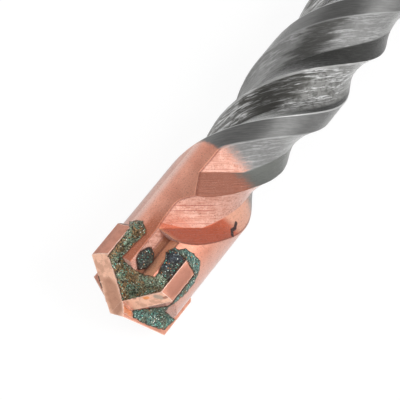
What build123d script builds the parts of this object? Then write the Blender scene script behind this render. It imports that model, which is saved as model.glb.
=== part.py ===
"""Masonry drill bit: four-edged carbide head, two wide and two narrow helical flutes, slotted shank.

Frame: millimetres, tip toward +X, origin at the centre of the shank's rear face, +Z up.
Angles of the head and the flutes are turned from +Y toward +Z; "depth" is measured back from the tip.
"""
import os
from math import acos, asin, cos, degrees, radians, sin, tan

from build123d import *

# overall
overall_length = 210.0
head_diameter = 16.0
body_radius = 6.85

# shank
shank_radius = 5.0
relief_radius = 4.5
relief_width = 2.0
guide_length = 18.5
shank_length = 52.0
shank_chamfer = 0.9
collar_cone_length = 4.0
drive_slot_width = 2.7
drive_slot_depth = 1.9
drive_slot_length = 30.5
lock_groove_radius = 2.6
lock_groove_depth = 1.7
lock_groove_start = 12.5
lock_groove_end = 27.0

# carbide
main_angle = 135.0
cross_angle = 45.0
main_thickness = 3.0
main_rear_depth = 9.6
main_edge_slope = 0.40
main_relief_slope = 0.24
main_web_slope = 0.80
main_corner_break = 0.5
main_apex_shift = 0.5
cross_thickness = 2.4
cross_upper_radius = 7.4
cross_upper_start = 0.75
cross_lower_radius = 8.0
cross_lower_start = -0.25
cross_rear_depth = 10.1
cross_edge_slope = 0.48
cross_relief_slope = 0.18

# steel head
front_centre_depth = 2.6
front_slope = 0.36
groove_angle = 88.0
groove_floor_radius = 5.3
groove_floor_width = 0.7
groove_low_wall_slope = 1.25
groove_high_wall_slope = 1.05
groove_rear_depth = 11.3

# flutes
lead = 50.5
flute_first_wall_depth = 9.2
flute_view_angle = 79.0
wide_wall_turn = 22.0
crest_turn = 72.4
narrow_wall_turn = 28.0
flutes_total_turn = 148.6
flute_runout_gap = 8.0
flute_fade_length = 12.0
flute_section_step = 2.6
flute_corner_round = 0.45
wide_entry_angle = 52.0
narrow_entry_angle = 57.0
entry_slant = 46.4
entry_stations = (12.0, 9.0, 6.5, 4.0, 2.0)
entry_swell = 0.10
entry_swell_depth = 16.0
entry_swell_reach = 6.0
cutter_overrun = 12.0

# rest
floor_direction = 270.0

# braze
band_front_depth = 4.6
band_rear_depth = 11.3
band_crest = 7.6
band_foot_angle = 113.5
pad_thickness = 0.4
pad_front_depth = 5.3
pad_rear_depth = 12.0
pad_width = 6.0
pad_corner = 1.6
fill_radius = 6.75
fill_start_depth = 0.65
fill_slope = 0.63
blob_length = 3.0
blob_width = 2.3
blob_height = 0.8
blob_depth = 7.2
blob_lift = 0.5


def station(depth):
    """Section plane across the bit at a depth behind the tip; local x is +Y, local y is +Z."""
    return Plane(origin=(overall_length - depth, 0, 0), x_dir=(0, 1, 0), z_dir=(1, 0, 0))


def polar(radius, angle):
    return Vector(radius * cos(radians(angle)), radius * sin(radians(angle)))


def turned(shape, angle):
    return shape.rotate(Axis.X, angle)


def half_turn(shape):
    return turned(shape, 180)


def block(inner, outer, low, high, front, rear, angle):
    """Box between two radii along a direction, between two sideways offsets, between two depths."""
    size = (rear - front, outer - inner, high - low)
    centre = (overall_length - (front + rear) / 2, (inner + outer) / 2, (low + high) / 2)
    return turned(Pos(*centre) * Box(*size), angle)


def above_plane(depth_at_axis, slope_out, slope_side, angle, reach=30.0):
    """Everything in front of a sloping face: its depth grows outward and toward the positive side."""
    far = reach

    def corner(out, side):
        depth = depth_at_axis + slope_out * out + slope_side * side
        return (overall_length - depth, out, side)

    top = overall_length + 2 * reach
    base = [corner(-far, -far), corner(far, -far), corner(far, far), corner(-far, far)]
    lid = [(top, p[1], p[2]) for p in base]
    lower = make_face(Polyline(*base, base[0]))
    upper = make_face(Polyline(*lid, lid[0]))
    return turned(loft([lower, upper], ruled=True), angle)


def main_half(shift):
    """One half of the main plate: its relieved edge face, with the steep web facet by the chisel edge."""
    radius = head_diameter / 2
    side = main_thickness / 2
    stock = block(-shift, radius + 1, -side, side, 0, main_rear_depth, main_angle)
    start = main_edge_slope * shift
    face = above_plane(start + main_relief_slope * side, main_edge_slope, -main_relief_slope, main_angle)
    web = above_plane(main_web_slope * shift, main_web_slope, 0, main_angle)
    return (stock - face) + (stock - web)


def build_main_plate():
    radius = head_diameter / 2
    plate = main_half(main_apex_shift) + half_turn(main_half(-main_apex_shift))
    turned_round = Pos(overall_length - 5, 0, 0) * Rot(0, 90, 0) * Cylinder(radius, 20)
    plate = plate & turned_round
    for angle in (main_angle, main_angle + 180):
        rear = above_plane(main_rear_depth + radius - main_corner_break, -1.0, 0, angle)
        outer = block(radius - 2, radius + 2, -3, 3, main_rear_depth - 2, main_rear_depth + 2, angle)
        plate = plate - (outer - rear)
    return plate


def build_cross_insert(start, radius):
    side = cross_thickness / 2
    stock = block(main_thickness / 2, radius + 1, -side, side, 0, cross_rear_depth, cross_angle)
    face = above_plane(start + cross_relief_slope * side, cross_edge_slope, -cross_relief_slope, cross_angle)
    rim = Pos(overall_length - 5, 0, 0) * Rot(0, 90, 0) * Cylinder(radius, 20)
    return (stock - face) & rim


def core_radius(depth):
    return body_radius * min(0.80, max(0.63, 0.652 + 0.0055 * (depth - 27)))


def crest_radius(depth):
    """Radius the flute floors rise to; they climb more steeply where the entry bends into the helix."""
    swell = entry_swell * max(0.0, 1 - abs(depth - entry_swell_depth) / entry_swell_reach)
    return body_radius * min(0.98, swell + max(0.85, 0.85 + 0.005 * (depth - 28)))


def flute_rear_depth():
    return overall_length - shank_length - collar_cone_length - flute_runout_gap


def fade(depth):
    """Lift that carries the flutes out of the steel at their shank end."""
    start = flute_rear_depth() - flute_fade_length
    return max(0.0, depth - start) / flute_fade_length


def wall_angle(depth):
    return flute_view_angle - 360 * (depth - flute_first_wall_depth) / lead


def flute_section(depth, wall, corner, floor, middle):
    """Wall, rounded corner and rising floor of a flute, closed outside the body."""
    a, c, b = polar(*wall), polar(*corner), polar(*floor)
    wall_end = a + (a - c).normalized() * cutter_overrun
    floor_end = b + (b - c).normalized() * cutter_overrun
    outside = polar(12.5, middle)
    face = make_face(Polyline(wall_end, c, floor_end, outside, wall_end))
    root = min(face.vertices(), key=lambda v: (Vector(v.X, v.Y) - c).length)
    return station(depth) * fillet(root, flute_corner_round)


def entry_section(depth, first_depth, section, root_angle):
    """Ahead of the helix the cutter moves on a straight line, tangent to the core."""
    shift = (first_depth - depth) * tan(radians(entry_slant))
    sideways = polar(shift, root_angle + 90)
    return Pos(first_depth - depth, sideways.X, sideways.Y) * section(first_depth, depth)


def flute_cutter(section, corner_turn, root_angle):
    """Straight entry and helical run of one flute, as a single loft."""
    first_depth = flute_first_wall_depth + lead * (flute_view_angle - root_angle + corner_turn) / 360
    faces = [entry_section(first_depth - ahead, first_depth, section, root_angle) for ahead in entry_stations]
    length = flute_rear_depth() - first_depth
    steps = int(round(length / flute_section_step))
    faces += [section(first_depth + length * i / steps) for i in range(steps + 1)]
    return loft(faces)


def wide_section(depth, cut_depth=None):
    """The section at a depth of the helix; in the entry it is carried forward to the depth cut there."""
    lift = 1.2 * fade(depth)
    crest = crest_radius(cut_depth or depth)
    wall = wall_angle(depth)
    core = core_radius(depth) + (body_radius + 1.2 - core_radius(depth)) * fade(depth)
    return flute_section(depth, (body_radius + lift, wall), (core, wall + wide_wall_turn),
                         (crest + lift, wall + crest_turn), wall + 38)


def narrow_section(depth, cut_depth=None):
    lift = 1.2 * fade(depth)
    wall = wall_angle(depth)
    core = core_radius(depth) + (body_radius + 1.2 - core_radius(depth)) * fade(depth)
    crest = wall + crest_turn
    return flute_section(depth, (crest_radius(depth) + lift, crest),
                         (core, wall + crest_turn + narrow_wall_turn),
                         (body_radius + lift, wall + flutes_total_turn), wall + crest_turn + 40)


def dust_groove():
    """Trough from the front face back into the wide flute, steep on one side and open on the other."""
    floor = groove_floor_radius
    reach = body_radius + 1.5 - floor
    half = groove_floor_width / 2
    points = [(floor + reach, -half - groove_low_wall_slope * reach), (floor, -half), (floor, half),
              (floor + reach, half + groove_high_wall_slope * reach)]
    profile = make_face(Polyline(*points, points[0]))
    profile = fillet(profile.vertices().sort_by(Axis.X)[:2], 0.25)
    trough = extrude(station(groove_rear_depth) * profile, groove_rear_depth + 3, dir=(1, 0, 0))
    return turned(trough, groove_angle)


def bar_between(radius, start, end):
    """Round bar on the axis, between two distances from the shank's rear face."""
    return Pos((start + end) / 2, 0, 0) * Rot(0, 90, 0) * Cylinder(radius, end - start)


def build_shank():
    guide_start = shank_length - guide_length
    rear = bar_between(shank_radius, 0, guide_start - relief_width)
    rear = chamfer(rear.edges().sort_by(Axis.X)[0], shank_chamfer)
    relief = bar_between(relief_radius, guide_start - relief_width, guide_start)
    guide = bar_between(shank_radius, guide_start, shank_length)
    collar = Pos(shank_length + collar_cone_length / 2, 0, 0) * Rot(0, 90, 0) * Cone(
        shank_radius, body_radius, collar_cone_length)
    shank = rear + relief + guide + collar
    for angle in (0, 180):
        slot = Pos(drive_slot_length / 2 - 1, shank_radius, 0) * Box(
            drive_slot_length + 2, 2 * drive_slot_depth, drive_slot_width)
        tail = Pos(drive_slot_length, shank_radius, 0) * Cylinder(drive_slot_depth, drive_slot_width)
        shank = shank - turned(slot + tail, angle)
        centre = shank_radius + lock_groove_radius - lock_groove_depth
        length = lock_groove_end - lock_groove_start - 2 * lock_groove_radius
        middle = (lock_groove_start + lock_groove_end) / 2
        trough = Pos(middle, centre, 0) * Rot(0, 90, 0) * Cylinder(lock_groove_radius, length)
        ends = Pos(middle - length / 2, centre, 0) * Sphere(lock_groove_radius)
        ends = ends + Pos(middle + length / 2, centre, 0) * Sphere(lock_groove_radius)
        shank = shank - turned(trough + ends, angle + 90)
    return shank


def bar(radius, front, rear):
    length = rear - front
    return Pos(overall_length - (front + rear) / 2, 0, 0) * Rot(0, 90, 0) * Cylinder(radius, length)


def build_braze_band():
    """Run of braze metal along the trailing side of the main plate, outside the steel."""
    side = main_thickness / 2
    foot = polar(body_radius - 0.05, main_angle - band_foot_angle)
    heel = (body_radius - 0.6, side)
    crest = (band_crest, side)
    middle = ((band_crest + foot.X) / 2 + 0.22, (side + foot.Y) / 2 + 0.12)
    outline = [Line(heel, crest), ThreePointArc(crest, middle, (foot.X, foot.Y)),
               Line((foot.X, foot.Y), heel)]
    profile = mirror(make_face(outline), about=Plane.XZ)
    run = extrude(station(band_rear_depth) * profile, band_rear_depth - band_front_depth, dir=(1, 0, 0))
    run = turned(run, main_angle) - bar(body_radius, 0, 20)
    return run


def build_braze_pad():
    """Pool of braze metal that frames the cross insert and runs out smoothly behind it."""
    middle = overall_length - (pad_front_depth + pad_rear_depth) / 2
    plane = Plane(origin=(middle, 4, 0), x_dir=(1, 0, 0), z_dir=(0, 1, 0))
    footprint = RectangleRounded(pad_rear_depth - pad_front_depth, pad_width, pad_corner)
    stock = turned(extrude(plane * footprint, 6), cross_angle)
    shell = bar(body_radius + pad_thickness, 0, 20) - bar(body_radius, -1, 21)
    half = cross_thickness / 2
    pad = (shell & stock) - block(0, 10, -half, half, -5, cross_rear_depth, cross_angle)
    return pad - dust_groove()


def front_core():
    """The steel's own conical front, carried back inside the head."""
    tip = overall_length - front_centre_depth
    outline = [(tip, 0), (tip - front_slope * 8, 8), (tip - 8, 8), (tip - 8, 0)]
    return revolve(make_face(Polyline(*outline, outline[0])), Axis.X)


def build_braze_front(low, high):
    """Braze metal that fills the front corner between the main plate and a cross insert."""
    stock = block(main_thickness / 2, 9, low, high, 0, 7, cross_angle) & bar(fill_radius, -1, 8)
    side = 1 if low > 0 else -1
    start = fill_start_depth - fill_slope * main_thickness / 2
    front = above_plane(start, fill_slope, side * main_edge_slope, cross_angle)
    return stock - front - front_core() - dust_groove()


def build_braze_blob():
    """Lump of braze metal that ran into the dust groove and froze on its floor."""
    lump = scale(Sphere(1.0), (blob_length / 2, blob_width / 2, blob_height))
    lump = Pos(overall_length - blob_depth, 0, groove_floor_radius + blob_lift) * lump
    return turned(lump, groove_angle - 90) & dust_groove()


def build_body():
    start = shank_length + collar_cone_length
    tip = overall_length - front_centre_depth
    rim = tip - front_slope * body_radius
    outline = [(start, 0), (start, body_radius), (rim, body_radius), (tip, 0)]
    body = revolve(make_face(Polyline(*outline, outline[0])), Axis.X)
    cutters = [dust_groove()]
    cutters.append(flute_cutter(wide_section, wide_wall_turn, wide_entry_angle))
    cutters.append(flute_cutter(narrow_section, crest_turn + narrow_wall_turn, narrow_entry_angle))
    for cutter in cutters:
        body = body - cutter
        body = body - half_turn(cutter)
    half = main_thickness / 2
    body = body - block(-10, 10, -half, half, -5, main_rear_depth, main_angle)
    half = cross_thickness / 2
    body = body - block(-10, 10, -half, half, -5, cross_rear_depth, cross_angle)
    return body + build_shank()


def rest_turn():
    """Turn about the axis that brings a corner of the main plate down to the floor the body lies on."""
    radius = head_diameter / 2
    corner = main_angle + 180 - degrees(asin(main_thickness / 2 / radius))
    return floor_direction - (corner - degrees(acos(body_radius / radius)))


if __name__ == "__main__":
    os.makedirs("parts", exist_ok=True)
    pieces = {
        "drill_body": build_body(),
        "main_carbide_plate": build_main_plate(),
        "cross_carbide_upper": build_cross_insert(cross_upper_start, cross_upper_radius),
        "cross_carbide_lower": half_turn(build_cross_insert(cross_lower_start, cross_lower_radius)),
    }
    half = cross_thickness / 2
    runs = {
        "braze_band": build_braze_band(),
        "braze_pad": build_braze_pad(),
        "braze_front_grooved": build_braze_front(half, 9),
        "braze_front_solid": build_braze_front(-9, -half),
    }
    for name, run in runs.items():
        pieces[name + "_upper"] = run
        pieces[name + "_lower"] = half_turn(run)
    pieces["braze_blob_upper"] = build_braze_blob()
    for name, piece in pieces.items():
        piece = turned(piece, rest_turn())
        print(name, piece.is_valid, len(piece.solids()), round(piece.volume, 2), piece.bounding_box())
        export_step(piece, "parts/" + name + ".step")
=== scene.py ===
from math import cos, pi, radians, sin, tan

import bpy
import numpy as np
from mathutils import Matrix, Vector, noise
from mathutils.bvhtree import BVHTree


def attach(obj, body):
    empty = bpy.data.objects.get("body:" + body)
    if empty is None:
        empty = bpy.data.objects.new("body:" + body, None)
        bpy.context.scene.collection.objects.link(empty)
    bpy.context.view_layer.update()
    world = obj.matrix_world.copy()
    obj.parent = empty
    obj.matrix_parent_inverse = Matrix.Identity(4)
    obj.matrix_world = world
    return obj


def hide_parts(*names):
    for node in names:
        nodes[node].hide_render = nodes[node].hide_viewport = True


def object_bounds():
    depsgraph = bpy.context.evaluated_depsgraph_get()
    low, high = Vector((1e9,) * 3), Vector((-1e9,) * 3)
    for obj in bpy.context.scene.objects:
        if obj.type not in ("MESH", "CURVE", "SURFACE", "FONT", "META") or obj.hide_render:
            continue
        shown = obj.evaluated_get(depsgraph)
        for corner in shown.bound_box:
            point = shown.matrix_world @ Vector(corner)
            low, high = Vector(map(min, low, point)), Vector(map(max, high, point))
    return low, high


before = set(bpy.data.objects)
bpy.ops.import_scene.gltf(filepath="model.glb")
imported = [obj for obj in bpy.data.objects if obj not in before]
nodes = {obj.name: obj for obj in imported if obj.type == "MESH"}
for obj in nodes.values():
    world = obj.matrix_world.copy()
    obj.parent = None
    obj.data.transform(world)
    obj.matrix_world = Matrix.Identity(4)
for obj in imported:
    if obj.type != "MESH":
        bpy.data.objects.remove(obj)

scene = bpy.context.scene
bounds_at_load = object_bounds()

# the bit, in millimetres and degrees, as in the CAD source
TIP = 210.0
BODY_RADIUS = 6.85
REST_TURN = -3.091
VIEW_ANGLE = 79.0 + REST_TURN
LEAD = 50.5
FIRST_WALL_DEPTH = 9.2
ENTRY_SLANT = 46.4
ENTRY_ROOT_ANGLE = 52.0 + REST_TURN

# phases round the helix, in degrees behind the wide flute's wall; they repeat every half turn
WIDE_WALL_PHASE = 22.0
CREST_PHASE = 72.4
NARROW_WALL_PHASE = 100.5
LAND_PHASE = 148.6

# depths behind the tip, in millimetres
GROOVE_END = 11.5
RED_WALL_END = 20.0
WIDE_HELIX_DEPTH = 16.1
NARROW_HELIX_DEPTH = 26.4
STREAK_BEND_DEPTH = 26.0
PLATING_DEPTH = 26.1
ROUGH_CUT_DEPTH = 27.5
SHADE_DEPTH = 35.25
PALE_WALL_DEPTH = 37.5

# camera, levelled on the bit: one pixel of the photo is PX metres at the axis
PX = BODY_RADIUS / 1000 / 48.48
ORIGIN_X = TIP / 1000 - 178.5 * PX
TILT = radians(21.5)
FOCAL_PX = 1900.0
CENTRE_S, CENTRE_T = -29.6, -4.0
EYE_T = -4.4
ROLL_COS, ROLL_SIN = 0.6293, 0.7771


def direction(angle):
    return Vector((0.0, cos(radians(angle)), sin(radians(angle))))


BACK = Vector((-1.0, 0.0, 0.0))
DOWN = direction(VIEW_ANGLE - 90)
RIGHT = cos(TILT) * BACK + sin(TILT) * direction(VIEW_ANGLE)
AHEAD = sin(TILT) * BACK - cos(TILT) * direction(VIEW_ANGLE)
EYE = Vector((ORIGIN_X, 0, 0)) + (CENTRE_S * RIGHT + EYE_T * DOWN - FOCAL_PX * AHEAD) * PX


def place_camera():
    cam_right = ROLL_COS * RIGHT + ROLL_SIN * DOWN
    cam_up = ROLL_SIN * RIGHT - ROLL_COS * DOWN
    data = bpy.data.cameras.new("camera")
    data.sensor_width = 36.0
    data.lens = FOCAL_PX * data.sensor_width / 400.0
    data.clip_start = 0.01
    data.clip_end = 10.0
    camera = bpy.data.objects.new("camera", data)
    scene.collection.objects.link(camera)
    axes = Matrix((cam_right, cam_up, -AHEAD)).transposed()
    camera.matrix_world = Matrix.Translation(EYE) @ axes.to_4x4()
    scene.camera = camera


def surface_tree():
    """Everything that braze lies on, for finding the surface under a point of the picture."""
    points, faces = [], []
    for name, node in nodes.items():
        if name.startswith("braze"):
            continue
        base = len(points)
        points += [v.co.copy() for v in node.data.vertices]
        faces += [[base + i for i in p.vertices] for p in node.data.polygons]
    return BVHTree.FromPolygons(points, faces)


SURFACE = surface_tree()


def ray(s, t):
    """Unit direction from the camera through a point of the levelled picture."""
    return (FOCAL_PX * AHEAD + float(s - CENTRE_S) * RIGHT + float(t - CENTRE_T) * DOWN).normalized()


def surface_point(s, t):
    """Point of the surface, in millimetres, seen at a place of the levelled picture."""
    return SURFACE.ray_cast(EYE, ray(s, t))[0] * 1000


# direction the cutter moved in at the flutes' front ends, and the direction across its marks
ENTRY_RUN = (Vector((1, 0, 0)) + tan(radians(ENTRY_SLANT)) * direction(ENTRY_ROOT_ANGLE + 90)).normalized()
ENTRY_ACROSS = ENTRY_RUN.cross(direction(ENTRY_ROOT_ANGLE))
# strong cutter marks, each by its middle in the levelled picture, and how dark it is
MARK_LINES = ((-38, -6, 0.9), (-44, -5, 0.8), (-54, 3, 0.5), (2, -14, 0.5))
# stains on the plates: two ends in the levelled picture, radius in millimetres, colour
STAINS = (
    ((-140.5, 15), (-138.5, 16.5), 0.26, (240, 140, 40)),
    ((-132, 23), (-130, 27), 0.40, (158, 146, 132)),
    ((-148, 6.5), (-147, 7.5), 0.16, (150, 70, 40)),
    ((-128, 30), (-126, 31), 0.22, (150, 84, 60)),
    ((-153, -19), (-165, -2), 1.10, (176, 122, 96)),
    ((-116, 31), (-96, 31), 0.90, (156, 102, 84)),
)
# radius of the painted highlight along the plates' worn edges, in metres
WORN_EDGE_HIGHLIGHT = 0.00022
# corners of the crack at the rear end of the red wall, in the levelled picture
CRACK = ((-24.6, 38.5), (-29.4, 40.9), (-33.0, 39.8), (-36.9, 43.5))


def linear(red, green, blue):
    """Scene-linear colour from the 0-255 values of a screen."""
    values = []
    for value in (red, green, blue):
        v = value / 255
        values.append(v / 12.92 if v <= 0.04045 else ((v + 0.055) / 1.055) ** 2.4)
    return (*values, 1.0)


class Graph:
    """Short calls for building one material's node tree."""

    def __init__(self, name, metallic, roughness):
        self.material = bpy.data.materials.new(name)
        self.material.use_nodes = True
        self.tree = self.material.node_tree
        self.shader = self.tree.nodes["Principled BSDF"]
        self.shader.inputs["Metallic"].default_value = metallic
        self.shader.inputs["Roughness"].default_value = roughness
        coords = self.node("ShaderNodeTexCoord")
        self.place = self.vector("SCALE", coords.outputs["Object"], scale=1000.0)

    def node(self, kind, **settings):
        made = self.tree.nodes.new(kind)
        for key, value in settings.items():
            setattr(made, key, value)
        return made

    def link(self, value, socket):
        if isinstance(value, bpy.types.NodeSocket):
            self.tree.links.new(value, socket)
        else:
            socket.default_value = value

    def math(self, operation, *values, clamp=False):
        made = self.node("ShaderNodeMath", operation=operation, use_clamp=clamp)
        for value, socket in zip(values, made.inputs):
            self.link(value, socket)
        return made.outputs[0]

    def product(self, first, *others):
        for value in others:
            first = self.math("MULTIPLY", first, value)
        return first

    def vector(self, operation, *values, scale=None):
        made = self.node("ShaderNodeVectorMath", operation=operation)
        for value, socket in zip(values, made.inputs):
            self.link(value, socket)
        if scale is not None:
            self.link(scale, made.inputs["Scale"])
        name = "Value" if operation in ("DOT_PRODUCT", "LENGTH", "DISTANCE") else "Vector"
        return made.outputs[name]

    def split(self, vector):
        made = self.node("ShaderNodeSeparateXYZ")
        self.link(vector, made.inputs[0])
        return made.outputs

    def combine(self, x, y, z):
        made = self.node("ShaderNodeCombineXYZ")
        for value, socket in zip((x, y, z), made.inputs):
            self.link(value, socket)
        return made.outputs[0]

    def step(self, value, low, high, bottom=0.0, top=1.0):
        made = self.node("ShaderNodeMapRange", interpolation_type="SMOOTHSTEP")
        for item, socket in zip((value, low, high, bottom, top), made.inputs):
            self.link(item, socket)
        return made.outputs[0]

    def after(self, value, middle, half):
        """1 past a middle value and 0 before it, with a soft border of the given half width."""
        return self.step(value, middle - half, middle + half)

    def before(self, value, middle, half):
        """0 past a middle value and 1 before it, with the same border."""
        return self.step(value, middle + half, middle - half)

    def mix(self, factor, first, second):
        made = self.node("ShaderNodeMix", data_type="RGBA")
        self.link(factor, made.inputs[0])
        self.link(first, made.inputs[6])
        self.link(second, made.inputs[7])
        return made.outputs[2]

    def tint(self, color, share, red, green, blue):
        return self.mix(share, color, linear(red, green, blue))

    def noise(self, place, scale, detail=2.0, roughness=0.5):
        made = self.node("ShaderNodeTexNoise")
        settings = {"Vector": place, "Scale": scale, "Detail": detail, "Roughness": roughness}
        for name, value in settings.items():
            self.link(value, made.inputs[name])
        return made.outputs[0]

    def cells(self, place, scale):
        """Distance from each cell's centre, and two random values for each cell."""
        made = self.node("ShaderNodeTexVoronoi")
        self.link(place, made.inputs["Vector"])
        self.link(scale, made.inputs["Scale"])
        split = self.node("ShaderNodeSeparateColor")
        self.link(made.outputs["Color"], split.inputs[0])
        return made.outputs["Distance"], split.outputs[0], split.outputs[1]

    def near_segment(self, start, end, far, near):
        """1 within a distance of a straight segment, fading to 0 farther out."""
        run = end - start
        out = self.vector("SUBTRACT", self.place, tuple(start))
        share = self.vector("DOT_PRODUCT", out, tuple(run / run.length_squared))
        share = self.math("MINIMUM", self.math("MAXIMUM", share, 0.0), 1.0)
        on_run = self.vector("SCALE", tuple(run), scale=share)
        return self.step(self.vector("DISTANCE", out, on_run), far, near)

    def stretched(self, place, along, across):
        """Place pressed together in one direction, for streaks that run along it."""
        amount = self.product(self.vector("DOT_PRODUCT", place, tuple(along)), across - 1.0)
        return self.vector("ADD", place, self.vector("SCALE", tuple(along), scale=amount))

    def finish(self, color, height, distance, strength):
        """Links the colour and a fine relief, whose distance is in metres."""
        self.link(color, self.shader.inputs["Base Color"])
        bump = self.node("ShaderNodeBump")
        bump.inputs["Strength"].default_value = strength
        bump.inputs["Distance"].default_value = distance
        self.link(height, bump.inputs["Height"])
        self.link(bump.outputs[0], self.shader.inputs["Normal"])
        return self.material


class Steel(Graph):
    """The drill body: masks for its land, walls and floors, and the colours that lie on them."""

    def __init__(self):
        super().__init__("plated_steel", 0.6, 0.40)
        self.shader.inputs["Sheen Weight"].default_value = 1.0
        self.shader.inputs["Sheen Roughness"].default_value = 0.35
        x, y, z = self.split(self.place)
        self.depth = self.math("SUBTRACT", TIP, x)
        self.radius = self.vector("LENGTH", self.combine(0.0, y, z))
        self.flute = self.step(self.radius, BODY_RADIUS - 0.03, BODY_RADIUS - 0.12)

        angle = self.product(self.math("ARCTAN2", z, y), 180 / pi)
        twist = self.product(self.math("SUBTRACT", self.depth, FIRST_WALL_DEPTH), 360 / LEAD)
        behind_wall = self.math("SUBTRACT", self.math("ADD", angle, twist), VIEW_ANGLE)
        self.phase = self.math("FLOORED_MODULO", behind_wall, 180.0)
        self.angle = self.math("FLOORED_MODULO", self.math("SUBTRACT", angle, REST_TURN), 180.0)

        entry_root = tuple(direction(ENTRY_ROOT_ANGLE))
        self.side = self.math("SIGN", self.vector("DOT_PRODUCT", self.place, entry_root))
        self.folded = self.fold(self.place)
        self.make_textures()
        self.make_walls()

    def fold(self, vector):
        """The far half laid on the near one, by the head's half-turn symmetry."""
        x, y, z = self.split(vector)
        return self.combine(x, self.product(self.side, y), self.product(self.side, z))

    def make_textures(self):
        """Streaks, straight where the cutter entered and along the flute behind, and plain noises."""
        straight = self.stretched(self.folded, ENTRY_RUN, 0.04)
        unroll = self.node("ShaderNodeVectorRotate", rotation_type="X_AXIS")
        turn_per_mm = tan(radians(ENTRY_SLANT)) / BODY_RADIUS
        self.link(self.place, unroll.inputs["Vector"])
        self.link(self.product(self.depth, turn_per_mm), unroll.inputs["Angle"])
        curved = self.vector("MULTIPLY", unroll.outputs[0], (0.16, 1.0, 1.0))
        bent = self.after(self.depth, STREAK_BEND_DEPTH, 3.0)
        self.fine = self.mix(bent, self.noise(straight, 4.2, 3.0, 0.6), self.noise(curved, 4.6, 3.0, 0.65))
        self.coarse = self.mix(bent, self.noise(straight, 1.4), self.noise(curved, 1.3))
        self.grain = self.noise(self.place, 11.0, 2.0, 0.7)
        self.speck = self.noise(self.place, 5.5, 1.0, 0.6)
        self.cloud = self.noise(self.place, 0.35)
        self.pale = self.noise(self.place, 1.6)

    def make_walls(self):
        """Steep walls, told by their lean in the cutter's entry and by the phase on the helix."""
        normal = self.node("ShaderNodeNewGeometry").outputs["True Normal"]
        lean = self.vector("DOT_PRODUCT", self.fold(normal), tuple(ENTRY_ACROSS))
        entry_wall = self.step(lean, 0.02, 0.16)

        # painted shade: the flutes are darker high on the side; lower down, where the rough cut runs down
        # over the wall, the wide wall's mask ends sooner
        self.down = self.vector("DOT_PRODUCT", self.folded, tuple(DOWN))
        wavy = self.math("ADD", self.down, self.product(self.math("SUBTRACT", self.coarse, 0.5), 5.0))
        self.lower_side = self.step(wavy, -1.3, 0.7)
        self.shaded = self.product(self.step(wavy, -4.8, -3.0), self.math("SUBTRACT", 1.0, self.lower_side),
                                   self.after(self.depth, SHADE_DEPTH, 1.75))
        run_over = self.product(self.lower_side, self.after(self.depth, ROUGH_CUT_DEPTH, 2.5))
        wall_end = self.step(run_over, 0.0, 1.0, WIDE_WALL_PHASE, 6.0)
        wide_wall = self.before(self.math("SUBTRACT", self.phase, wall_end), 0.0, 1.5)
        narrow_wall = self.product(self.after(self.phase, CREST_PHASE - 0.1, 0.5),
                                   self.before(self.phase, NARROW_WALL_PHASE, 2.0))
        helix_wall = self.math("MAXIMUM", wide_wall, narrow_wall)

        self.narrow = self.after(self.phase, 58.0, 8.0)
        helix_depth = self.step(self.narrow, 0.0, 1.0, WIDE_HELIX_DEPTH, NARROW_HELIX_DEPTH)
        on_helix = self.after(self.math("SUBTRACT", self.depth, helix_depth), 0.0, 0.4)
        self.wall = self.product(self.flute, self.mix(on_helix, entry_wall, helix_wall))

    def copper(self):
        """Copper plating, with its walls painted red and dark as shade behind the head, painted shade at the
        foot of the grooves, brown on the ridges, and a paler painted reflection on the land's high and low
        sides.
        """
        land = self.mix(self.step(self.cloud, 0.35, 0.65), linear(214, 146, 122), linear(204, 134, 110))
        beside_groove = self.product(self.after(self.angle, 101.0, 3.0), self.before(self.angle, 118.0, 4.0),
                                     self.before(self.depth, 13.0, 1.5))
        land = self.tint(land, beside_groove, 190, 110, 80)
        floor = self.mix(self.step(self.fine, 0.40, 0.66), linear(214, 164, 147), linear(188, 128, 108))
        floor = self.tint(floor, self.product(self.step(self.coarse, 0.62, 0.70), 0.35), 170, 92, 70)
        floor = self.tint(floor, self.product(self.step(self.pale, 0.5, 0.7), 0.5), 226, 184, 168)
        # painted light and shade on the walls: red and dark on the wide flute's wall behind the head, pale
        # on it further back, dark on the narrow flute's wall
        shaded_red_wall = self.mix(self.step(self.cloud, 0.4, 0.7), linear(196, 94, 60), linear(184, 88, 56))
        lit_and_shaded_later_wall = self.mix(self.narrow, linear(226, 168, 142), linear(158, 98, 78))
        behind_red = self.math("MAXIMUM", self.after(self.depth, RED_WALL_END, 0.8), self.narrow)
        wall = self.mix(behind_red, shaded_red_wall, lit_and_shaded_later_wall)
        groove = self.before(self.depth, GROOVE_END, 0.5)
        wall = self.tint(wall, groove, 222, 156, 118)
        color = self.mix(self.wall, self.mix(self.flute, land, floor), wall)

        # painted shade darkens the foot of the groove
        groove_foot_shade = self.product(groove, self.step(self.radius, 5.62, 5.45), 0.65)
        color = self.tint(color, groove_foot_shade, 126, 66, 44)
        ridge = self.product(self.step(self.radius, BODY_RADIUS - 0.04, BODY_RADIUS - 0.09),
                             self.step(self.radius, BODY_RADIUS - 0.30, BODY_RADIUS - 0.18),
                             self.after(self.depth, 6.75, 0.75), 0.6)
        color = self.tint(color, ridge, 132, 68, 50)
        color = self.cutter_marks(color)
        # painted reflection: the land paler on its high side and a little paler on its low side
        high_side_reflection = self.product(self.step(self.down, -5.0, -6.2), 0.6)
        painted_reflection = self.math("MAXIMUM", high_side_reflection, self.step(self.down, 4.4, 5.8, 0.0, 0.22))
        painted_reflection = self.product(painted_reflection, self.math("SUBTRACT", 1.0, self.flute))
        color = self.tint(color, painted_reflection, 238, 216, 206)
        return self.crack(self.speckled(color))

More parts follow.
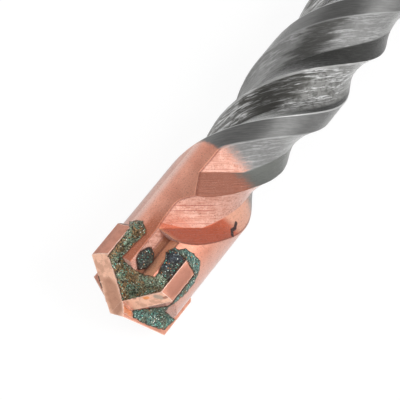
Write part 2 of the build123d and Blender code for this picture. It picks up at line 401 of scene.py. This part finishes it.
    def cutter_marks(self, color):
        """Strong dark lines on the floors, each straight along the cutter's run."""
        for line_s, line_t, share in MARK_LINES:
            foot = surface_point(line_s, line_t)
            place_across = self.vector("DOT_PRODUCT", self.folded, tuple(ENTRY_ACROSS))
            off = self.math("ABSOLUTE", self.math("SUBTRACT", place_across, foot.dot(ENTRY_ACROSS)))
            off = self.math("ADD", off, self.product(self.coarse, 0.10))
            run = self.math("ABSOLUTE", self.math("SUBTRACT", self.depth, TIP - foot.x))
            line = self.product(self.step(off, 0.14, 0.07), self.step(run, 3.2, 1.8),
                                self.math("SUBTRACT", self.flute, self.wall, clamp=True), share)
            color = self.tint(color, line, 150, 62, 46)
        return color

    def speckled(self, color):
        """Dark and light dots, and pits in the plating."""
        color = self.tint(color, self.product(self.step(self.speck, 0.52, 0.72), 0.50), 138, 80, 60)
        color = self.tint(color, self.product(self.step(self.grain, 0.54, 0.70), 0.40), 246, 206, 190)
        away, chance, _ = self.cells(self.place, 2.6)
        pits = self.product(self.step(chance, 0.84, 0.88), self.step(away, 0.26, 0.14), 0.6)
        return self.tint(color, pits, 96, 48, 34)

    def crack(self, color):
        crack = 0.0
        for start, end in zip(CRACK[:-1], CRACK[1:]):
            segment = self.near_segment(surface_point(*start), surface_point(*end), 0.34, 0.18)
            crack = self.math("MAXIMUM", crack, segment)
        return self.tint(color, crack, 56, 22, 16)

    def grey(self):
        """Bare steel, with painted shade on the walls, in the corners and high in the flutes, and a painted
        highlight in the pattern of the rough cuts on the wide floor's lower side.
        """
        land = self.mix(self.step(self.fine, 0.35, 0.7), linear(96, 96, 95), linear(112, 112, 111))
        wide = self.before(self.phase, 74.0, 2.0)
        # painted highlight: bright strokes, mostly on the wide floor and shifted towards its lower side,
        # weaker where shaded
        cut_highlight_phase = self.math("ADD", self.phase, self.product(self.lower_side, 20.0))
        cut_highlight = self.product(self.step(self.fine, 0.44, 0.62), self.step(self.coarse, 0.38, 0.56),
                             self.after(cut_highlight_phase, 32.0, 6.0), self.step(wide, 0.0, 1.0, 0.35, 1.0),
                             self.step(self.shaded, 0.0, 1.0, 1.0, 0.3))
        # painted light and shade on the floors: the wide floor darker than the narrow one, lighter on its
        # lower side, and darker in the corner by the wall high on the side
        floor = self.mix(wide, linear(134, 134, 133), linear(84, 83, 79))
        floor = self.tint(floor, self.product(self.lower_side, wide, 0.7), 140, 140, 138)
        upper_wide = self.math("SUBTRACT", wide, self.lower_side, clamp=True)
        corner = self.product(self.before(self.phase, 32.0, 8.0), upper_wide, 0.8)
        floor = self.tint(floor, corner, 54, 53, 50)
        dull = self.product(self.step(self.pale, 0.42, 0.62), self.step(wide, 0.0, 1.0, 0.15, 0.6))
        floor = self.tint(floor, dull, 66, 65, 60)
        floor = self.tint(floor, self.product(self.shaded, 0.75), 52, 51, 48)
        floor = self.tint(floor, cut_highlight, 212, 212, 212)
        # painted shade: the walls are dark, paler in front of PALE_WALL_DEPTH
        wall = self.mix(self.step(self.fine, 0.4, 0.7), linear(42, 42, 40), linear(60, 60, 58))
        wall = self.tint(wall, self.before(self.depth, PALE_WALL_DEPTH, 2.5), 104, 106, 102)
        color = self.mix(self.flute, land, floor)
        color = self.tint(color, self.product(self.shaded, 0.3), 52, 51, 48)
        return self.mix(self.wall, color, wall)

    def bare(self):
        """0 on the plated head and 1 on the bare steel, with a ragged border in the flutes."""
        ragged = self.product(self.math("SUBTRACT", self.fine, 0.5), 3.2, self.flute)
        edge = self.math("SUBTRACT", self.depth, ragged)
        edge = self.math("ADD", edge, self.math("SUBTRACT", self.pale, 0.5))
        edge = self.math("ADD", edge, self.math("SUBTRACT", self.product(self.wall, 1.4), self.flute))
        spread = self.math("ADD", self.product(self.flute, 0.8), 0.45)
        start = self.math("SUBTRACT", PLATING_DEPTH, spread)
        end = self.math("ADD", PLATING_DEPTH, spread)
        return self.step(edge, start, end)

    def ridge_highlights(self, color):
        """A painted highlight: a thin light line on each ridge of the bare steel."""
        half_turned = self.math("PINGPONG", self.math("ADD", self.phase, 90.0), 90.0)
        ridge = self.step(self.math("SUBTRACT", 90.0, half_turned), 1.4, 0.6)
        from_crest = self.math("ABSOLUTE", self.math("SUBTRACT", self.phase, CREST_PHASE - 1.5))
        from_land = self.math("ABSOLUTE", self.math("SUBTRACT", self.phase, LAND_PHASE))
        crest = self.product(self.step(from_crest, 2.2, 0.9), 0.6)
        lip = self.product(self.step(from_land, 1.6, 0.6), 0.35)
        line = self.math("MAXIMUM", ridge, self.math("MAXIMUM", crest, lip))
        line = self.product(line, self.step(self.radius, 5.4, 5.9), self.after(self.depth, 26.5, 1.5), 0.7)
        return self.tint(color, line, 214, 214, 213)


def steel_material():
    """Copper-plated head that fades into bare grey steel."""
    g = Steel()
    bare = g.bare()
    color = g.ridge_highlights(g.mix(bare, g.copper(), g.grey()))
    streaks = g.product(g.math("ADD", g.fine, g.product(g.coarse, 0.8)), g.flute)
    streaks = g.product(streaks, g.step(bare, 0.0, 1.0, 1.0, 1.3))
    height = g.math("ADD", streaks, g.product(g.grain, 0.4))
    g.link(g.step(g.flute, 0.0, 1.0, 0.40, 0.55), g.shader.inputs["Roughness"])
    return g.finish(color, height, 0.00007, 0.9)


def carbide_material(name, lit_face_color, shaded_end_color):
    """Sintered plate under a worn copper flash, with painted light and shade by the way each face turns:
    pale on its ground faces, duller on its ends, dark on faces turned back.
    """
    g = Graph(name, 0.45, 0.42)
    grain = g.noise(g.place, 8.0, 3.0, 0.7)
    cloud = g.noise(g.place, 0.8, 3.0)
    flat = g.node("ShaderNodeNewGeometry").outputs["True Normal"]
    forward = g.vector("DOT_PRODUCT", flat, (1.0, 0.0, 0.0))
    # painted light and shade: faces turned to the front pale, ends duller, faces turned back dark
    color = g.mix(g.step(forward, 0.35, 0.6), linear(*shaded_end_color), linear(*lit_face_color))
    color = g.tint(color, g.step(forward, -0.3, -0.5), 96, 54, 38)
    color = g.tint(color, g.product(g.step(cloud, 0.45, 0.60), 0.4), 158, 100, 76)
    for start, end, size, stain_color in STAINS:
        stain = g.near_segment(surface_point(*start), surface_point(*end), size * 1.6, size * 0.7)
        color = g.tint(color, g.product(stain, 0.75), *stain_color)
    color = g.tint(color, g.product(g.step(grain, 0.52, 0.72), 0.45), 128, 86, 70)
    # painted highlight on the worn edges, lighter where the bevelled normal bends away
    bevel = g.node("ShaderNodeBevel")
    bevel.inputs["Radius"].default_value = WORN_EDGE_HIGHLIGHT
    bent = g.vector("DOT_PRODUCT", bevel.outputs[0], flat)
    color = g.tint(color, g.product(g.step(bent, 0.995, 0.95), 0.7), 252, 226, 210)
    return g.finish(color, grain, 0.00004, 0.6)


def braze_material(name, dark, mid, light):
    """Frozen braze metal: dark and granular with bright specks as painted glints, brown at its edge."""
    g = Graph(name, 0.30, 0.40)
    grain = g.noise(g.place, 4.0, 4.0, 0.75)
    cloud = g.noise(g.place, 0.6)
    away, chance, tone = g.cells(g.place, 4.6)
    color = g.mix(g.step(cloud, 0.40, 0.56), linear(*mid), linear(*light))
    color = g.mix(g.step(grain, 0.42, 0.58), linear(*dark), color)
    # painted glints: bright teal and white specks
    glint = g.mix(g.step(tone, 0.3, 0.8), linear(110, 206, 184), linear(244, 250, 238))
    color = g.mix(g.product(g.step(chance, 0.70, 0.84), g.step(away, 0.55, 0.22)), color, glint)
    warm = g.product(g.step(chance, 0.045, 0.03), g.step(away, 0.6, 0.3))
    color = g.tint(color, warm, 190, 120, 66)
    rim = g.node("ShaderNodeAttribute", attribute_name="rim")
    color = g.tint(color, g.product(rim.outputs["Fac"], 0.8), 84, 48, 32)
    height = g.math("ADD", grain, g.product(away, 0.5))
    return g.finish(color, height, 0.00014, 1.0)


STEEL = steel_material()
CARBIDE = carbide_material("carbide", (248, 196, 168), (196, 134, 112))
COPPER_RUN = carbide_material("copper_run", (222, 136, 82), (206, 122, 76))
BRAZE = braze_material("braze", (44, 38, 30), (168, 134, 92), (150, 164, 136))
BRAZE_SMOOTH = braze_material("braze_smooth", (42, 46, 40), (118, 126, 106), (106, 146, 136))
BRAZE_DARK = braze_material("braze_dark", (24, 24, 26), (78, 84, 92), (86, 84, 72))

for name, node in nodes.items():
    node.data.materials.clear()
    node.data.materials.append(STEEL if name == "drill_body" else CARBIDE)


# braze runs, laid on the steel where the camera of the photo sees them
SPACING = 0.5
RIM_WIDTH = 1.6
EMBEDDED = 0.00012


def inside_distance(outline, s, t):
    """Distance to the outline in pixels, positive inside it."""
    corners = np.array(outline, float)
    ends = np.roll(corners, -1, axis=0)
    nearest = np.full(s.shape, 1e9)
    inside = np.zeros(s.shape, bool)
    for (s0, t0), (s1, t1) in zip(corners, ends):
        ds, dt = s1 - s0, t1 - t0
        f = np.clip(((s - s0) * ds + (t - t0) * dt) / (ds * ds + dt * dt), 0, 1)
        nearest = np.minimum(nearest, np.hypot(s - s0 - f * ds, t - t0 - f * dt))
        crosses = (t0 > t) != (t1 > t)
        with np.errstate(divide="ignore", invalid="ignore"):
            at = s0 + (t - t0) * ds / dt
        inside ^= crosses & (s < at)
    return np.where(inside, nearest, -nearest)


def blurred(values, rounds):
    for _ in range(rounds):
        padded = np.pad(values, 1, mode="edge")
        beside = padded[:-2, 1:-1] + padded[2:, 1:-1] + padded[1:-1, :-2] + padded[1:-1, 2:]
        values = (beside + 4 * values) / 8
    return values


class Run:
    """Mesh of one run of braze, gathered from patches; none rises past the land's highest line."""

    def __init__(self):
        self.points, self.faces, self.rims, self.slots = [], [], [], []

    def patch(self, outline, rise, slot=0, jag=0.9, shoulder=3.0, lumps=0.5, fill=6):
        """Adds what lies inside an outline, raised by millimetres; jag and shoulder are in pixels."""
        corners = np.array(outline, float)
        low, high = corners.min(0) - 1, corners.max(0) + 1
        s, t = np.meshgrid(np.arange(low[0], high[0], SPACING), np.arange(low[1], high[1], SPACING),
                           indexing="ij")
        away = inside_distance(outline, s, t)
        far = np.full(s.shape, np.nan)
        for i, j in np.ndindex(s.shape):
            away[i, j] += jag * noise.noise(Vector((s[i, j] * 0.35, t[i, j] * 0.35, 3.0)))
            if away[i, j] > -1.5:
                hit = SURFACE.ray_cast(EYE, ray(s[i, j], t[i, j]))
                if hit[0] is not None:
                    far[i, j] = hit[3]
        known = ~np.isnan(far)
        keep = known & (away > 0)
        level = np.where(known, far, np.nanmean(far))
        level = np.minimum(level, blurred(level, fill))
        index = -np.ones(s.shape, int)
        base = len(self.points)
        top, bottom, rims = [], [], []
        for i, j in zip(*np.nonzero(keep)):
            index[i, j] = base + len(top)
            d = away[i, j]
            f = min(1.0, d / shoulder)
            lump = noise.noise(Vector((s[i, j] * 0.22, t[i, j] * 0.22, 8.0)))
            small = noise.noise(Vector((s[i, j] * 0.9, t[i, j] * 0.9, 1.0)))
            round_up = (1 - (1 - f) ** 2) ** 0.5
            height = rise * round_up * (1 + lumps * lump + 0.6 * lumps * small)
            line = ray(s[i, j], t[i, j])
            point = EYE + line * float(level[i, j] - max(height, 0.0) / 1000)
            point.z = min(point.z, BODY_RADIUS / 1000)
            top.append(point)
            bottom.append(EYE + line * float(far[i, j] + EMBEDDED))
            rims.append(max(0.0, 1 - d / RIM_WIDTH))
        count = len(top)
        self.points += top + bottom
        self.rims += rims + rims
        cells = keep[:-1, :-1] & keep[1:, :-1] & keep[1:, 1:] & keep[:-1, 1:]
        edges = {}
        for i, j in zip(*np.nonzero(cells)):
            loop = [index[i, j], index[i, j + 1], index[i + 1, j + 1], index[i + 1, j]]
            self.faces.append(loop)
            self.faces.append([k + count for k in reversed(loop)])
            for a, b in zip(loop, loop[1:] + loop[:1]):
                if (b, a) in edges:
                    del edges[(b, a)]
                else:
                    edges[(a, b)] = True
        for a, b in edges:
            self.faces.append([b, a, a + count, b + count])
        self.slots += [slot] * (len(self.faces) - len(self.slots))

    def build(self, name, node_name, half_turn):
        turn = Matrix.Rotation(pi, 3, "X") if half_turn else Matrix.Identity(3)
        mesh = bpy.data.meshes.new(name)
        mesh.from_pydata([turn @ p for p in self.points], [], [[int(i) for i in f] for f in self.faces])
        for material in (BRAZE, BRAZE_SMOOTH, COPPER_RUN, BRAZE_DARK):
            mesh.materials.append(material)
        mesh.polygons.foreach_set("material_index", self.slots)
        mesh.polygons.foreach_set("use_smooth", [True] * len(mesh.polygons))
        rim = mesh.attributes.new("rim", "FLOAT", "POINT")
        rim.data.foreach_set("value", self.rims)
        piece = bpy.data.objects.new(name, mesh)
        scene.collection.objects.link(piece)
        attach(piece, "root")
        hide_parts(node_name)


run_names = ("braze_band", "braze_front_grooved", "braze_pad", "braze_front_solid", "braze_blob")
runs = {name: Run() for name in run_names}
runs["braze_band"].patch([
    (-132, -40.5), (-110, -41), (-96, -42), (-91, -45.5), (-85, -41), (-81.5, -35.5), (-84.5, -31),
    (-86, -27), (-90, -25), (-100, -26.5), (-120, -28), (-124, -29), (-132, -28)], 0.30)
runs["braze_front_grooved"].patch([
    (-131, -40), (-130, -28), (-122.5, -30), (-124, -25), (-125, -15), (-124, -8), (-122, 0), (-119, 5),
    (-117, 9.5), (-111, 9), (-111, 22.8), (-125.7, 22.8), (-141, 11.5), (-157.4, -0.6), (-150, -10),
    (-140, -25)], 0.28)
runs["braze_pad"].patch([
    (-113, 9.5), (-105, 7), (-97, 5.5), (-92, 2), (-88, 3), (-83, 7), (-84, 16), (-85.5, 23.3),
    (-113, 23.0)], 0.38, slot=3)
runs["braze_pad"].patch([
    (-88, 3), (-82, 6), (-81, 11), (-76, 15), (-75, 25), (-76.5, 35), (-82, 39), (-90, 42), (-97, 44),
    (-110, 44.5), (-120, 43), (-130, 40.5), (-138, 36), (-127.3, 38.8), (-91, 38.8), (-85, 23.5), (-85, 8)],
    0.28, slot=1, lumps=0.3)
runs["braze_front_solid"].patch([
    (-158, 12.5), (-150, 20), (-140, 30), (-130, 39.5), (-137.5, 39.5), (-138.5, 46), (-137.5, 52.5),
    (-153.4, 50.4), (-160, 35), (-163.4, 18)], 0.28, slot=1)
runs["braze_front_solid"].patch([
    (-166, 6.5), (-157.5, -0.5), (-157.6, 2), (-159, 8), (-158, 13), (-163.4, 18.5), (-164.5, 18)],
    0.22, slot=2, lumps=0.2)
runs["braze_blob"].patch([
    (-123, -8), (-118, -14), (-112, -17.5), (-106, -18), (-98, -14.5), (-96, -12), (-100, -5), (-106, -1.5),
    (-117, -2)], 0.75, slot=3, jag=0.6, shoulder=7.0, lumps=0.25, fill=14)
for name, run in runs.items():
    run.build(name + "_run_upper", name + "_upper", False)
    if name != "braze_blob":
        run.build(name + "_run_lower", name + "_lower", True)


PAPER_WHITE = 0.86
GLOW_SHARE = 0.85
GLOW = 1.06
FLOOR_REACH = 3.0
SKY_STRENGTH = 0.48


def floor_material():
    """White paper: the camera sees it almost evenly white, and it keeps a soft shadow."""
    made = bpy.data.materials.new("paper")
    made.use_nodes = True
    tree = made.node_tree
    shader = tree.nodes["Principled BSDF"]
    shader.inputs["Base Color"].default_value = (PAPER_WHITE, PAPER_WHITE, PAPER_WHITE, 1)
    shader.inputs["Roughness"].default_value = 1.0
    glow = tree.nodes.new("ShaderNodeEmission")
    path = tree.nodes.new("ShaderNodeLightPath")
    share = tree.nodes.new("ShaderNodeMath")
    share.operation = "MULTIPLY"
    share.inputs[1].default_value = GLOW_SHARE
    glow.inputs["Strength"].default_value = GLOW
    tree.links.new(path.outputs["Is Camera Ray"], share.inputs[0])
    mixed = tree.nodes.new("ShaderNodeMixShader")
    tree.links.new(share.outputs[0], mixed.inputs[0])
    tree.links.new(shader.outputs[0], mixed.inputs[1])
    tree.links.new(glow.outputs[0], mixed.inputs[2])
    tree.links.new(mixed.outputs[0], tree.nodes["Material Output"].inputs[0])
    return made


floor_level = bounds_at_load[0][2]
corners = [(-FLOOR_REACH, -FLOOR_REACH), (FLOOR_REACH, -FLOOR_REACH),
           (FLOOR_REACH, FLOOR_REACH), (-FLOOR_REACH, FLOOR_REACH)]
floor_mesh = bpy.data.meshes.new("floor")
floor_mesh.from_pydata([(x, y, floor_level) for x, y in corners], [], [(0, 1, 2, 3)])
floor_mesh.materials.append(floor_material())
floor = bpy.data.objects.new("floor", floor_mesh)
scene.collection.objects.link(floor)


def soft_sun(name, strength, across, up, along, spread):
    """Soft light from a direction, with across as +Y and along as +X; spread is in degrees."""
    data = bpy.data.lights.new(name, "SUN")
    data.energy = strength
    data.angle = radians(spread)
    lamp = bpy.data.objects.new(name, data)
    scene.collection.objects.link(lamp)
    source = Vector((along, across, up))
    lamp.rotation_euler = source.to_track_quat("Z", "Y").to_euler()


soft_sun("fill", 1.5, 0.80, 0.75, -0.40, 35)
soft_sun("left", 1.1, -1.0, 0.10, 0.0, 60)
soft_sun("right", 1.2, 1.0, 0.15, 0.1, 60)
soft_sun("front", 0.8, 0.2, 0.35, 1.0, 50)

world = bpy.data.worlds.new("world")
scene.world = world
world.use_nodes = True
sky = world.node_tree.nodes["Background"]
sky.inputs["Color"].default_value = (1, 1, 1, 1)
sky.inputs["Strength"].default_value = SKY_STRENGTH

scene.view_settings.view_transform = "Standard"
place_camera()
